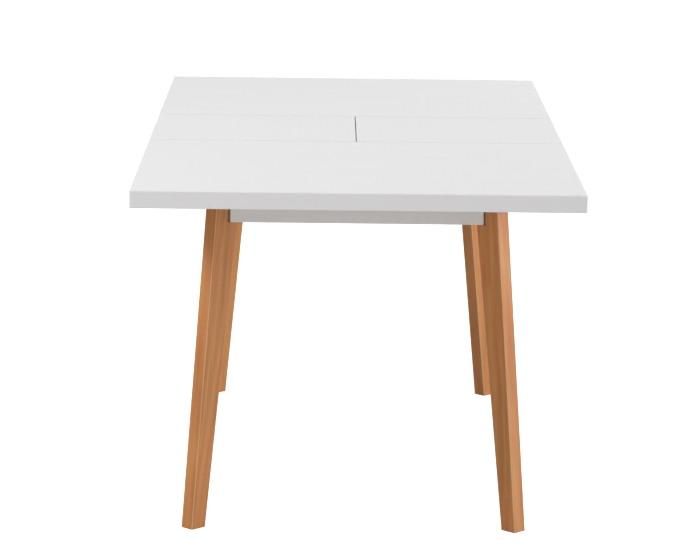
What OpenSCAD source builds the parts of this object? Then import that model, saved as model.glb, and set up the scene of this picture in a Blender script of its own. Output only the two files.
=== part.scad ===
// Extendable dining table: two sliding top panels, a folding leaf between them and a fixed frame on four
// splayed legs. +X is the width, +Y the length, +Z up, and the origin is on the floor under the middle.

/* [Top] */
// Height of the table's surface
table_height = 750; // [700:1:780]
// Width of the top, side to side
top_width = 900; // [800:1:1100]
// Length of each sliding top panel
panel_length = 700; // [650:1:850]
// Length of the folding leaf, along the table
leaf_length = 400; // [300:1:480]
// Thickness of the top boards
top_thickness = 35; // [25:1:42]
// Open seam between two top boards
seam = 1.6; // [1:0.1:3]

/* [Frame] */
// Length of the frame over its aprons
frame_length = 1190; // [1000:1:1320]
// Width of the frame over its side rails
frame_width = 578; // [480:1:700]
// Height of the apron and rail boards
apron_height = 74; // [60:1:95]
// Thickness of the apron and rail boards
board = 18; // [15:1:22]
// Height of the glide pads that the panels slide on
pad_height = 3.7; // [2:0.1:6]
// Clearance between sliding faces
slide_clearance = 0.3; // [0.2:0.1:0.6]
// Shadow gap between a board's end and the leg beside it
shadow_gap = 4; // [2:0.5:6]
// Depth of the square part of an apron's or a rail's end
square_end = 6; // [4:0.5:8]
// Length of a corner block's faces against the boards
block_face = 45; // [40:1:60]
// Width of a corner block's nose, which the leg bolts to
nose_width = 24; // [20:1:30]

/* [Legs] */
// Thickness of a leg, across its wide faces
leg_thickness = 33; // [28:1:44]
// Depth of a leg at the floor
foot_depth = 38; // [30:1:50]
// Distance from the leg's seat out to the middle of its foot
leg_splay = 79; // [40:1:110]
// Depth of wood outside the seat at the leg's top
cheek_depth = 27; // [24:1:36]
// Depth of the shoulder that carries the corner block
shoulder_depth = 27; // [15:1:40]
// Diameter of the leg bolts
bolt_d = 8; // [6:1:10]
// Length of bolt inside the leg
bolt_grip = 16; // [12:1:20]
// Height between a leg's two bolts
bolt_spacing = 36; // [24:1:44]

/* [Slides] */
// Length of the fixed channels
channel_length = 1060; // [900:1:1060]
// Height of the fixed channels
channel_height = 38; // [32:1:44]
// Depth of the fixed channels
channel_depth = 13; // [11:1:16]
// Wall of the fixed channels
channel_wall = 1.5; // [1.2:0.1:2.5]
// Running clearance round a slide bar
bar_clearance = 0.5; // [0.3:0.1:0.8]
// Length of a slide bar and of the batten that it carries
bar_length = 285; // [200:1:285]
// Distance from a panel's inner edge to its slide bars
bar_setback = 12; // [8:1:30]
// Width of a batten
batten_width = 22; // [18:1:30]
// Height of a batten
batten_height = 48; // [40:1:52]

/* [Leaf] */
// Diameter of the barrel hinges between the leaf halves
barrel_d = 14; // [10:1:18]
// Depth of a barrel hinge in its leaf half
barrel_depth = 30; // [20:1:40]
// Number of barrel hinges
barrel_count = 3; // [2:1:4]
// Distance between a bearer's centre and the seam beside it
bearer_inset = 60; // [40:1:90]
// Width of the steel bearers that the folded leaf is stowed on
bearer_width = 40; // [30:1:60]
// Thickness of those bearers
bearer_thick = 4; // [3:0.5:6]
// Width of a support plate
plate_width = 50; // [35:1:60]
// Thickness of a support plate
plate_thick = 3; // [2:0.5:4]
// How far a support plate reaches under the leaf
plate_reach = 45; // [36:1:60]
// How far a support plate is held under its panel
plate_hold = 55; // [40:1:80]
// Distance from the table's middle to the nearer plate of each panel
plate_near = 40; // [30:1:60]
// Distance between one panel's two plates
plate_apart = 150; // [130:1:180]

/* [Hidden] */
$fn = 48;
tiny = 0.01;
white = [0.94, 0.94, 0.95];
rail_white = [0.80, 0.79, 0.78];
beech = [0.78, 0.56, 0.36];
pale_wood = [0.86, 0.74, 0.56];
steel = [0.62, 0.63, 0.65];
nylon = [0.90, 0.90, 0.88];

// The top and what is under it
top_under = table_height - top_thickness;
frame_top = top_under - pad_height - slide_clearance;
frame_bottom = frame_top - apron_height;
half_leaf = leaf_length / 2;

// A leg stands across a corner of the frame that is cut off at 45 degrees, as wide as the leg is thick
corner_cut = leg_thickness / sqrt(2);
seat_x = frame_width / 2 - corner_cut / 2;
seat_y = frame_length / 2 - corner_cut / 2;
foot_outer = leg_splay + foot_depth / 2;
foot_inner = leg_splay - foot_depth / 2;
foot_arris = 2;
bolt_levels = [-1, 1] * bolt_spacing / 2;
bolt_mid = frame_bottom + apron_height / 2;
bolt_slack = 0.5;
washer_d = 2.2 * bolt_d;
washer_thick = 2;
nut_height = 0.8 * bolt_d;
nut_flats = 1.6 * bolt_d;

// The corner block fills the inside of a corner and its nose reaches the leg
inner_x = frame_width / 2 - board;
inner_y = frame_length / 2 - board;
block_sum = inner_x + inner_y - block_face;
block_depth = (seat_x + seat_y - block_sum) / sqrt(2);

// The slides: channels on the side rails, and bars that run in them and carry the panels' battens
bar_height = channel_height - 2 * channel_wall - 2 * bar_clearance;
lip = 4;
slot_height = channel_height - 2 * channel_wall - 2 * lip;
head_thick = channel_depth - 2 * channel_wall - 2 * bar_clearance;
channel_inner = inner_x - channel_depth;
channel_mid = frame_bottom + apron_height / 2;
batten_outer = channel_inner - 2;
bar_start = half_leaf + seam / 2 + bar_setback;
screw_d = 4;
screw_head_d = 8;
screw_head = 2.2;
screw_length = 14;
channel_screw_count = 4;
batten_screw_count = 3;
batten_screw_depth = 15;

// The leaf rests on the rails' pads and on plates that reach under it from both panels
bearer_y = half_leaf - bearer_inset;
plate_start = half_leaf + seam / 2 - plate_reach;
plate_screw_depth = 15;
barrel_level = table_height - top_thickness / 2;

// Repeats a right-hand piece on the side that is asked for: -1 is left, or front
module on_side(x = 1, y = 1) {
    mirror([x < 0 ? 1 : 0, 0, 0])
        mirror([0, y < 0 ? 1 : 0, 0])
            children();
}

// Puts a piece drawn along +X at the leg's seat, pointing outwards along the diagonal
module at_seat() {
    translate([seat_x, seat_y, 0])
        rotate([0, 0, 45])
            children();
}

// A rod along +X from one distance to another
module rod(d, from, to, z) {
    translate([from, 0, z])
        rotate([0, 90, 0])
            cylinder(d = d, h = to - from);
}

// One leg, cut from its side outline: the shoulder carries the corner block and the cheek covers its nose
module leg(x, y) {
    color(beech)
        on_side(x, y)
            at_seat()
                difference() {
                    translate([0, leg_thickness / 2, 0])
                        rotate([90, 0, 0])
                            linear_extrude(leg_thickness)
                                polygon([
                                    [foot_outer, foot_arris],
                                    [foot_outer - foot_arris, 0],
                                    [foot_inner + foot_arris, 0],
                                    [foot_inner, foot_arris],
                                    [-shoulder_depth, frame_bottom],
                                    [0, frame_bottom],
                                    [0, frame_top],
                                    [cheek_depth, frame_top]
                                ]);
                    for (level = bolt_levels)
                        rod(bolt_d, -tiny, bolt_grip, bolt_mid + level);
                }
}

// The block glued into a corner of the frame, with clearance holes for the leg bolts
module corner_block(x, y) {
    nose = nose_width / sqrt(2) / 2;
    color(pale_wood)
        on_side(x, y)
            difference() {
                translate([0, 0, frame_bottom])
                    linear_extrude(apron_height)
                        polygon([
                            [block_sum - inner_y, inner_y],
                            [seat_x - nose + inner_y - (seat_y + nose), inner_y],
                            [seat_x - nose, seat_y + nose],
                            [seat_x + nose, seat_y - nose],
                            [inner_x, seat_y - nose - (seat_x + nose - inner_x)],
                            [inner_x, block_sum - inner_x]
                        ]);
                at_seat()
                    for (level = bolt_levels)
                        rod(bolt_d + 2 * bolt_slack, -block_depth - 1, 1, bolt_mid + level);
            }
}

// Runs its children for each leg bolt, at the seat
module each_bolt() {
    for (x = [-1, 1], y = [-1, 1], level = bolt_levels)
        on_side(x, y)
            at_seat()
                translate([0, 0, bolt_mid + level])
                    children();
}

module leg_bolts() {
    color(steel)
        each_bolt()
            rod(bolt_d, -block_depth - washer_thick - nut_height - 3, bolt_grip, 0);
}

module leg_washers() {
    color(steel)
        each_bolt()
            difference() {
                rod(washer_d, -block_depth - washer_thick, -block_depth, 0);
                rod(bolt_d + bolt_slack, -block_depth - washer_thick - 1, -block_depth + 1, 0);
            }
}

module leg_nuts() {
    color(steel)
        each_bolt()
            difference() {
                translate([-block_depth - washer_thick - nut_height, 0, 0])
                    rotate([0, 90, 0])
                        cylinder(d = nut_flats / cos(30), h = nut_height, $fn = 6);
                rod(bolt_d, -block_depth - washer_thick - nut_height - 1, -block_depth, 0);
            }
}

// The outline of a frame board, whose ends are square outside and cut back inside, past the block's nose
function board_outline(half, outside, inside) = [
    [-half, outside],
    [half, outside],
    [half, outside - square_end],
    [half - (board - square_end), inside],
    [-half + (board - square_end), inside],
    [-half, outside - square_end]
];

// An end apron, which stays clear of the legs by the shadow gap
module apron(y) {
    half = frame_width / 2 - corner_cut - shadow_gap;
    color(rail_white)
        on_side(1, y)
            translate([0, 0, frame_bottom])
                linear_extrude(apron_height)
                    polygon(board_outline(half, frame_length / 2, inner_y));
}

// A side rail, with pilot holes for the screws of its channel
module side_rail(x) {
    half = frame_length / 2 - corner_cut - shadow_gap;
    outline = board_outline(half, frame_width / 2, inner_x);
    color(rail_white)
        on_side(x, 1)
            difference() {
                translate([0, 0, frame_bottom])
                    linear_extrude(apron_height)
                        polygon([for (p = outline) [p[1], p[0]]]);
                channel_screw_places()
                    rod(screw_d, 0, screw_length, 0);
            }
}

// Low nylon pads on the frame's top edge, which the panels and the leaf slide and rest on
module glide_pads() {
    pad_d = 14;
    end_x = frame_width / 4;
    rail_y = [half_leaf * 0.6, half_leaf + panel_length * 0.25];
    color(nylon)
        for (x = [-1, 1], y = [-1, 1]) {
            translate([x * end_x, y * (frame_length / 2 - board / 2), frame_top])
                cylinder(d = pad_d, h = pad_height);
            for (place = rail_y)
                translate([x * (frame_width / 2 - board / 2), y * place, frame_top])
                    cylinder(d = pad_d, h = pad_height);
        }
}

// A fixed channel, open towards the middle, with lips that hold the slide bars in
module channel(x) {
    color(steel)
        on_side(x, 1)
            difference() {
                translate([channel_inner, -channel_length / 2, channel_mid - channel_height / 2])
                    difference() {
                        cube([channel_depth, channel_length, channel_height]);
                        translate([channel_wall, -1, channel_wall])
                            cube([channel_depth - 2 * channel_wall, channel_length + 2,
                                  channel_height - 2 * channel_wall]);
                        translate([-1, -1, channel_wall + lip])
                            cube([channel_wall + 2, channel_length + 2, slot_height]);
                    }
                channel_screw_places()
                    rod(screw_d, -channel_wall - 1, 1, 0);
            }
}

// Runs its children at each channel screw, in the plane where a channel meets its side rail
module channel_screw_places() {
    pitch = channel_length / channel_screw_count;
    for (i = [0:channel_screw_count - 1])
        translate([inner_x, -channel_length / 2 + (i + 0.5) * pitch, channel_mid])
            children();
}

// Screws whose countersunk heads end flush inside the channels, clear of the bars
module channel_screws() {
    color(steel)
        for (x = [-1, 1])
            on_side(x, 1)
                channel_screw_places()
                    rod(screw_d, -channel_wall, screw_length, 0);
}

// A slide bar: its head runs in the channel and its web carries the batten
module slide_bar(x, y) {
    web_height = slot_height - 2;
    head_in = channel_inner + channel_wall + bar_clearance;
    color(steel)
        on_side(x, y) {
            translate([head_in, bar_start, channel_mid - bar_height / 2])
                cube([head_thick, bar_length, bar_height]);
            translate([batten_outer, bar_start, channel_mid - web_height / 2])
                cube([head_in - batten_outer + tiny, bar_length, web_height]);
        }
}

module batten(x, y) {
    color(pale_wood)
        on_side(x, y)
            difference() {
                translate([batten_outer - batten_width, bar_start, top_under - batten_height])
                    cube([batten_width, bar_length, batten_height]);
                batten_screw_places()
                    cylinder(d = screw_d, h = batten_height + 2);
                batten_screw_places()
                    cylinder(d = screw_head_d + 1, h = batten_height / 2 + 1);
            }
}

// Runs its children at each batten screw, from just under the batten
module batten_screw_places() {
    pitch = bar_length / batten_screw_count;
    for (i = [0:batten_screw_count - 1])
        translate([batten_outer - batten_width / 2, bar_start + (i + 0.5) * pitch,
                   top_under - batten_height - 1])
            children();
}

// The screws that hold the battens up to their panel, in deep counterbores
module batten_screws(y) {
    deep = batten_height / 2 + 1;
    color(steel)
        for (x = [-1, 1])
            on_side(x, y)
                batten_screw_places() {
                    translate([0, 0, deep])
                        cylinder(d = screw_d, h = batten_height / 2 + batten_screw_depth);
                    translate([0, 0, deep - screw_head])
                        cylinder(d = screw_head_d, h = screw_head);
                }
}

// A sliding top panel
module top_panel(y) {
    color(white)
        on_side(1, y)
            difference() {
                translate([-top_width / 2, half_leaf + seam / 2, top_under])
                    cube([top_width, panel_length - seam / 2, top_thickness]);
                for (x = [-1, 1])
                    on_side(x, 1)
                        batten_screw_places()
                            cylinder(d = screw_d, h = batten_height + 1 + batten_screw_depth);
                mirror([y < 0 ? 1 : 0, 0, 0])
                    plate_screw_places()
                        cylinder(d = screw_d, h = plate_thick + slide_clearance + plate_screw_depth);
            }
}

// A flat steel bearer between the side rails, which the folded leaf is stowed on
module leaf_bearer(y) {
    color(steel)
        translate([-inner_x, y * bearer_y - bearer_width / 2, frame_bottom])
            cube([2 * inner_x, bearer_width, bearer_thick]);
}

// Runs its children at each of a rear panel's plates; the front panel is the same, turned half round, so
// that the plates pass each other when the table is closed
module plate_places() {
    for (x = [-plate_near, plate_apart - plate_near])
        translate([x, plate_start, top_under - slide_clearance - plate_thick])
            children();
}

// Runs its children at both screws of a plate
module plate_screw_places() {
    plate_places()
        for (x = [-1, 1])
            translate([x * plate_width / 4, plate_reach + plate_hold / 2, 0])
                children();
}

// Turns a rear panel's fittings half round for the front panel
module at_end(y) {
    rotate([0, 0, y < 0 ? 180 : 0])
        children();
}

// The steel plates that carry the leaf's edge beside a seam
module support_plates(y) {
    color(steel)
        at_end(y)
            difference() {
                plate_places()
                    translate([-plate_width / 2, 0, 0])
                        cube([plate_width, plate_reach + plate_hold, plate_thick]);
                plate_screw_places()
                    translate([0, 0, -1])
                        cylinder(d = screw_d, h = plate_thick + 2);
            }
}

module plate_screws(y) {
    color(steel)
        at_end(y)
            plate_screw_places() {
                cylinder(d = screw_d, h = plate_thick + slide_clearance + plate_screw_depth);
                translate([0, 0, -screw_head])
                    cylinder(d = screw_head_d, h = screw_head);
            }
}

// Runs its children at each barrel hinge, on the leaf's middle line
module barrel_places() {
    pitch = leaf_length / barrel_count;
    for (i = [0:barrel_count - 1])
        translate([0, -half_leaf + (i + 0.5) * pitch, barrel_level])
            children();
}

// One half of the leaf, bored along its inner edge for the barrel hinges
module leaf_half(x) {
    color(white)
        on_side(x, 1)
            difference() {
                translate([seam / 2, -half_leaf + seam / 2, top_under])
                    cube([(top_width - seam) / 2, leaf_length - seam, top_thickness]);
                barrel_places()
                    rod(barrel_d, -1, seam / 2 + barrel_depth, 0);
            }
}

// The parts of the barrel hinges that are sunk in one half of the leaf
module hinge_barrels(x) {
    slot = 3;
    color(steel)
        on_side(x, 1)
            barrel_places()
                difference() {
                    rod(barrel_d, seam / 2, seam / 2 + barrel_depth, 0);
                    translate([0, -slot / 2, -barrel_d])
                        cube([seam / 2 + barrel_depth * 0.6, slot, 2 * barrel_d]);
                }
}

leg(-1, -1);  // leg_front_left
leg(1, -1);  // leg_front_right
leg(-1, 1);  // leg_rear_left
leg(1, 1);  // leg_rear_right
corner_block(-1, -1);  // corner_block_front_left
corner_block(1, -1);  // corner_block_front_right
corner_block(-1, 1);  // corner_block_rear_left
corner_block(1, 1);  // corner_block_rear_right
leg_bolts();
leg_washers();
leg_nuts();
apron(-1);  // apron_front
apron(1);  // apron_rear
side_rail(-1);  // side_rail_left
side_rail(1);  // side_rail_right
glide_pads();
channel(-1);  // channel_left
channel(1);  // channel_right
channel_screws();
leaf_bearer(-1);  // leaf_bearer_front
leaf_bearer(1);  // leaf_bearer_rear
top_panel(-1);  // top_panel_front
batten(-1, -1);  // batten_front_left
batten(1, -1);  // batten_front_right
slide_bar(-1, -1);  // slide_bar_front_left
slide_bar(1, -1);  // slide_bar_front_right
batten_screws(-1);  // batten_screws_front
support_plates(-1);  // support_plates_front
plate_screws(-1);  // plate_screws_front
top_panel(1);  // top_panel_rear
batten(-1, 1);  // batten_rear_left
batten(1, 1);  // batten_rear_right
slide_bar(-1, 1);  // slide_bar_rear_left
slide_bar(1, 1);  // slide_bar_rear_right
batten_screws(1);  // batten_screws_rear
support_plates(1);  // support_plates_rear
plate_screws(1);  // plate_screws_rear
leaf_half(-1);  // leaf_left
leaf_half(1);  // leaf_right
hinge_barrels(-1);  // hinge_barrels_left
hinge_barrels(1);  // hinge_barrels_right
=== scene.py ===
"""Extendable dining table: the visual model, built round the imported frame.

White lacquered top boards slide on steel channels, a leaf folds up between them, and four tapering beech legs
are bolted across the corners of a lacquered frame. Lengths are in metres, with +X across the table, +Y along
it, +Z up, and the origin on the floor under its middle.
"""

import logging
import math
from dataclasses import dataclass
from enum import Enum
from typing import Callable, Optional, Sequence, Union

import bpy
import numpy as np
from mathutils import Matrix, Vector


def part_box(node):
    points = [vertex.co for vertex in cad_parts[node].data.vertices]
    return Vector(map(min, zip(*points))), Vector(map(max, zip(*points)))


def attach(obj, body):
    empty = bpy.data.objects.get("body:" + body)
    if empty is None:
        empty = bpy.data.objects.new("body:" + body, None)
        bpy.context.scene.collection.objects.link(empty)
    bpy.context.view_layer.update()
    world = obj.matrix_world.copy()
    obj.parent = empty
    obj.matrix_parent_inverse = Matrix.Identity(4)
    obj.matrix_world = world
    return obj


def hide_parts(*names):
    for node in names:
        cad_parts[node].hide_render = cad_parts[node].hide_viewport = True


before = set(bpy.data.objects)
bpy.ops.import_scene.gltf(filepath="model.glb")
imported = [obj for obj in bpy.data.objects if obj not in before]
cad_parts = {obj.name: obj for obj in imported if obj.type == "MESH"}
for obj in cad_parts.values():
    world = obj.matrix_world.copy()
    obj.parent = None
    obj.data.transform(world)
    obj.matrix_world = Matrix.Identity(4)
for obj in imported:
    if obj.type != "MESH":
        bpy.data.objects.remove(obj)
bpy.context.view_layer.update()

log = logging.getLogger("table")
Array = np.ndarray
Box = tuple[Array, Array]
Mesh = tuple[Array, list[list[int]]]
Outline = Sequence[Sequence[float]]
Radii = Union[float, Sequence[float]]
Seams = Sequence[tuple[int, float]]
Triple = tuple[float, float, float]
Shade = tuple[float, float, float, float]
Socket = bpy.types.NodeSocket

MM = 0.001
DIAGONAL = math.sqrt(0.5)
TURN = 2.0 * math.pi
QUARTER = math.pi / 2.0
LEVEL = np.eye(3)
CENTRE = (0.0, 0.0, 0.0)
WHITE = (1.0, 1.0, 1.0, 1.0)
# marks the legs' rounded edges, where a painted highlight is laid
EDGE_HIGHLIGHT_LAYER = "rubbed_edge"
ROUND_OVER = 1.01  # a corner's radius over the arris that runs round it, so that no ring folds over
CLEAR = 1 * MM  # how far outside a part its cutter starts
GRID = 1e5  # places in a metre, for merging points that coincide
FLAT = 0.97  # a face whose normal keeps this share along an axis is square to it


class Way(Enum):
    """A direction from the table's middle, whose value is the sign along its axis."""

    @property
    def label(self) -> str:
        """The direction's word in the names of nodes and bodies."""
        return self.name.lower()


class Side(Way):
    """Left or right, along X."""

    LEFT = -1
    RIGHT = 1


class End(Way):
    """Front or rear, along Y."""

    FRONT = -1
    REAR = 1


# ---------------------------------------------------------------------------------------------------- shapes


def arris_rows(low: float, high: float, arris: float, steps: int = 4) -> tuple[Array, Array]:
    """Heights and insets of the rings of a slab with rounded edges.

    A quarter circle at each end: with an angle a from 0 to 90 degrees, the inset is arris times one minus
    the sine of a, and the distance from the end is arris times one minus the cosine of a.

    Args:
        low: height of the lower face.
        high: height of the upper face.
        arris: radius of the rounded edges.
        steps: stretches in each quarter circle.

    Returns:
        The heights and the insets, from the lower face to the upper.
    """
    a = np.linspace(0.0, QUARTER, steps + 1)
    inset = arris * (1.0 - np.sin(a))
    rise = arris * (1.0 - np.cos(a))
    return np.concatenate([low + rise, (high - rise)[::-1]]), np.concatenate([inset, inset[::-1]])


def rounded_rings(corners: Array, insets: Array, radius: Array, steps: int) -> Array:
    """Rings that follow an outline with its corners rounded, each moved inwards by its row's inset.

    Each corner's circle is centred one radius along the mitre from it, inside the outline at a convex
    corner and outside at a hollow one. A point is that centre plus the radius less the inset, times a unit
    normal that turns evenly from one edge's normal to the next. At a hollow corner the sign changes and the
    inset is added.

    Args:
        corners: rows by corners by 2, anticlockwise.
        insets: one inset for each row.
        radius: one radius for each corner, no less than the largest inset at a convex corner.
        steps: stretches in each rounded corner.

    Returns:
        Rows by points by 2.
    """
    before = corners - np.roll(corners, 1, axis=1)
    after = np.roll(corners, -1, axis=1) - corners
    before /= np.linalg.norm(before, axis=2, keepdims=True)
    after /= np.linalg.norm(after, axis=2, keepdims=True)
    n0 = np.stack([before[..., 1], -before[..., 0]], axis=2)
    n1 = np.stack([after[..., 1], -after[..., 0]], axis=2)
    cross = n0[..., 0] * n1[..., 1] - n0[..., 1] * n1[..., 0]
    dot = (n0 * n1).sum(axis=2)
    side = np.where(cross >= 0.0, 1.0, -1.0)
    mitre = (n0 + n1) / (1.0 + dot)[..., None]
    centre = corners - (side * radius[None, :])[..., None] * mitre
    share = np.linspace(0.0, 1.0, steps + 1)
    angle = np.arctan2(n0[..., 1], n0[..., 0])[..., None] + np.arctan2(cross, dot)[..., None] * share
    normal = np.stack([np.cos(angle), np.sin(angle)], axis=3)
    reach = side * radius[None, :] - insets[:, None]
    points = centre[:, :, None, :] + reach[..., None, None] * normal
    return points.reshape(len(corners), -1, 2)


def skin(rings: Array, caps: bool = True, loop: bool = False) -> Mesh:
    """Joins rings of equal length with four-sided faces.

    Args:
        rings: rows by points by 3, each ring closed on itself.
        caps: whether the first and last rings are closed with one face each.
        loop: whether the last ring joins the first.

    Returns:
        The points and the faces.
    """
    rows, count = rings.shape[:2]
    index = np.arange(rows * count).reshape(rows, count)
    upper = np.roll(index, -1, axis=0)
    if not loop:
        index, upper = index[:-1], upper[:-1]
    quads = np.stack([index, np.roll(index, -1, axis=1), np.roll(upper, -1, axis=1), upper], axis=2)
    faces = quads.reshape(-1, 4).tolist()
    if caps and not loop:
        faces.append(list(range(count))[::-1])
        faces.append(list(range((rows - 1) * count, rows * count)))
    return rings.reshape(-1, 3), faces


def placed(mesh: Mesh, origin: Sequence[float], axes: Sequence[Sequence[float]]) -> Mesh:
    """Puts a mesh onto three axes at an origin, with its faces still outwards.

    Args:
        mesh: drawn along its own x, y and z.
        origin: where its own origin goes.
        axes: where its own x, y and z go, one row each.

    Returns:
        The points and the faces.
    """
    points, faces = mesh
    turn = np.array(axes, dtype=float)
    moved = points @ turn + np.array(origin, dtype=float)
    if np.linalg.det(turn) < 0.0:
        faces = [face[::-1] for face in faces]
    return moved, faces


def joined(meshes: Sequence[Mesh]) -> Mesh:
    """Several meshes as one, for pieces that share a node.

    Args:
        meshes: in the order in which they are kept.

    Returns:
        The points and the faces.
    """
    points, faces, start = [], [], 0
    for part_points, part_faces in meshes:
        points.append(part_points)
        faces.extend([[i + start for i in face] for face in part_faces])
        start += len(part_points)
    return np.concatenate(points), faces


def slab(outline: Outline, low: float, high: float, arris: float, corner: Radii, steps: int = 4) -> Mesh:
    """A board: an outline with rounded corners, carried from one height to another with rounded edges.

    Args:
        outline: the corners, anticlockwise.
        low: height of the lower face.
        high: height of the upper face.
        arris: radius of the long edges.
        corner: radius of the outline's corners, one for all or one each.
        steps: stretches in each rounded corner.

    Returns:
        The points and the faces.
    """
    heights, insets = arris_rows(low, high, arris)
    corners = np.repeat(np.array(outline, dtype=float)[None], len(heights), axis=0)
    radius = np.full(corners.shape[1], 1.0) * np.maximum(np.array(corner, dtype=float), arris * ROUND_OVER)
    rings = rounded_rings(corners, insets, radius, steps)
    z = np.repeat(heights[:, None, None], rings.shape[1], axis=1)
    return skin(np.concatenate([rings, z], axis=2))


def turned(profile: Outline, segments: int, loop: bool = False) -> Mesh:
    """A turned piece: each point of the profile, a radius and a height, is carried once round the z axis.

    Args:
        profile: radius and height of each point, going up, or round the section of a ring.
        segments: faces round the axis.
        loop: whether the profile closes on itself, as a washer's does.

    Returns:
        The points and the faces.
    """
    line = np.array(profile, dtype=float)
    angle = np.linspace(0.0, TURN, segments, endpoint=False)
    ring = np.stack([np.cos(angle), np.sin(angle)], axis=1)
    flat = line[:, None, 0:1] * ring[None]
    z = np.repeat(line[:, None, 1:2], segments, axis=1)
    return skin(np.concatenate([flat, z], axis=2), loop=loop)


def threaded(radius: float, pitch: float, depth: float, length: float, segments: int = 20) -> Mesh:
    """A threaded rod along z, from 0 to its length.

    The radius falls by the thread's depth times a triangle wave, whose phase is the height over the pitch
    less the angle over a whole turn, and the last pitch at the tip tapers in.

    Args:
        radius: outside the thread.
        pitch: height of one turn of the thread.
        depth: depth of the thread.
        length: length of the rod.
        segments: faces round the axis.

    Returns:
        The points and the faces.
    """
    rings_in_pitch = 5
    z = np.arange(0.0, length, pitch / rings_in_pitch)
    angle = np.linspace(0.0, TURN, segments, endpoint=False)
    phase = z[:, None] / pitch - angle[None] / TURN
    wave = np.abs(2.0 * (phase - np.floor(phase + 0.5)))
    taper = np.clip(1.0 - z / pitch, 0.0, 1.0)[:, None]
    r = radius - depth * np.maximum(wave, taper)
    height = np.repeat(z[:, None], segments, axis=1)
    return skin(np.stack([r * np.cos(angle), r * np.sin(angle), height], axis=2))


def cross_head(radius: float, height: float, segments: int = 40) -> Mesh:
    """A low domed screw head, with its flat face at z = 0 and its dome towards +z.

    The height over a point is the head's height times one minus the square of its share of the radius,
    less a cross-shaped recess: a ramp in the smaller of the point's distances to the two arms of the cross.

    Args:
        radius: of the head.
        height: of the dome.
        segments: faces round the axis.

    Returns:
        The points and the faces.
    """
    rim, arm_width, cross_reach, cross_fade, cross_depth = 0.45, 0.13, 0.62, 0.1, 0.6
    share = np.array([1.0, 1.0, 0.97, 0.9, 0.8, 0.7, 0.62, 0.56,
                      0.5, 0.42, 0.34, 0.27, 0.21, 0.15, 0.1, 0.05])
    angle = np.linspace(0.0, TURN, segments, endpoint=False)
    x = radius * share[:, None] * np.cos(angle)
    y = radius * share[:, None] * np.sin(angle)
    dome = height * (rim + (1.0 - rim) * (1.0 - share[:, None] ** 2))
    arm = np.minimum(np.abs(x), np.abs(y)) / (arm_width * radius)
    inside = np.clip((cross_reach - share[:, None]) / cross_fade, 0.0, 1.0)
    z = dome - cross_depth * height * np.clip(1.6 - arm, 0.0, 1.0) * inside
    z[0] = 0.0
    return skin(np.stack([x, y, z], axis=2))


def solids_of(node: str) -> list[Box]:
    """The lowest and highest corners of each separate solid in a CAD node, in a fixed order.

    Points that coincide are merged, and each solid takes the smallest number that its triangles can pass on.

    Args:
        node: the CAD node.

    Returns:
        Each solid's box, in order of place.
    """
    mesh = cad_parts[node].data
    points = np.zeros(len(mesh.vertices) * 3)
    mesh.vertices.foreach_get("co", points)
    points = points.reshape(-1, 3)
    mesh.calc_loop_triangles()
    triangles = np.zeros(len(mesh.loop_triangles) * 3, dtype=np.int64)
    mesh.loop_triangles.foreach_get("vertices", triangles)
    _, same = np.unique(np.round(points * GRID), axis=0, return_inverse=True)
    triangles = same.reshape(-1)[triangles].reshape(-1, 3)
    label = np.arange(same.max() + 1)
    while True:
        least = label[triangles].min(axis=1)
        passed = label.copy()
        for k in range(3):
            np.minimum.at(passed, triangles[:, k], least)
        if np.array_equal(passed, label):
            break
        label = passed
    mine = label[same.reshape(-1)]
    found = [(points[mine == k].min(axis=0), points[mine == k].max(axis=0)) for k in np.unique(mine)]
    return sorted(found, key=lambda b: tuple(np.round(b[0] + b[1], 4)))


# --------------------------------------------------------------------------------------------------- objects


def piece(name: str, mesh: Mesh, material: bpy.types.Material, body: str,
          nodes: Sequence[str], sharp: float = 35.0) -> bpy.types.Object:
    """Makes a finished piece, which rides on its body and stands for its CAD nodes.

    Args:
        name: the piece's name.
        mesh: points and faces, already in place.
        material: its finish.
        body: the body that it moves with.
        nodes: the CAD nodes that it replaces.
        sharp: edges that turn by more than this many degrees stay crisp.

    Returns:
        The new object.
    """
    points, faces = mesh
    data = bpy.data.meshes.new(name)
    data.from_pydata(points.tolist(), [], faces)
    data.validate()
    data.polygons.foreach_set("use_smooth", [True] * len(data.polygons))
    data.set_sharp_from_angle(angle=math.radians(sharp))
    data.materials.append(material)
    made = bpy.data.objects.new(name, data)
    bpy.context.scene.collection.objects.link(made)
    weighted = made.modifiers.new("even_faces", "WEIGHTED_NORMAL")
    weighted.keep_sharp = True
    weighted.weight = 100
    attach(made, body)
    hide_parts(*nodes)
    log.info("%s: %d points on %s", name, len(points), body)
    return made


def bored(mesh: Mesh, cutters: Mesh) -> Mesh:
    """A mesh with another one cut out of it, for counterbores and sunk fittings.

    Args:
        mesh: what is cut.
        cutters: what is taken away.

    Returns:
        The points and the faces.
    """
    def helper(name: str, part: Mesh) -> bpy.types.Object:
        """A passing object for the cut.

        Args:
            name: the object's name.
            part: points and faces.

        Returns:
            The object, in the scene.
        """
        data = bpy.data.meshes.new(name)
        data.from_pydata(part[0].tolist(), [], part[1])
        made = bpy.data.objects.new(name, data)
        bpy.context.scene.collection.objects.link(made)
        return made

    solid, tool = helper("solid", mesh), helper("tool", cutters)
    cut = solid.modifiers.new("cut", "BOOLEAN")
    cut.operation, cut.solver, cut.object = "DIFFERENCE", "EXACT", tool
    result = solid.evaluated_get(bpy.context.evaluated_depsgraph_get()).to_mesh()
    points = np.zeros(len(result.vertices) * 3)
    result.vertices.foreach_get("co", points)
    faces = [list(face.vertices) for face in result.polygons]
    solid.to_mesh_clear()
    for done in (solid, tool):
        bpy.data.objects.remove(done)
    return points.reshape(-1, 3), faces


# -------------------------------------------------------------------------------------------------- finishes


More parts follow.
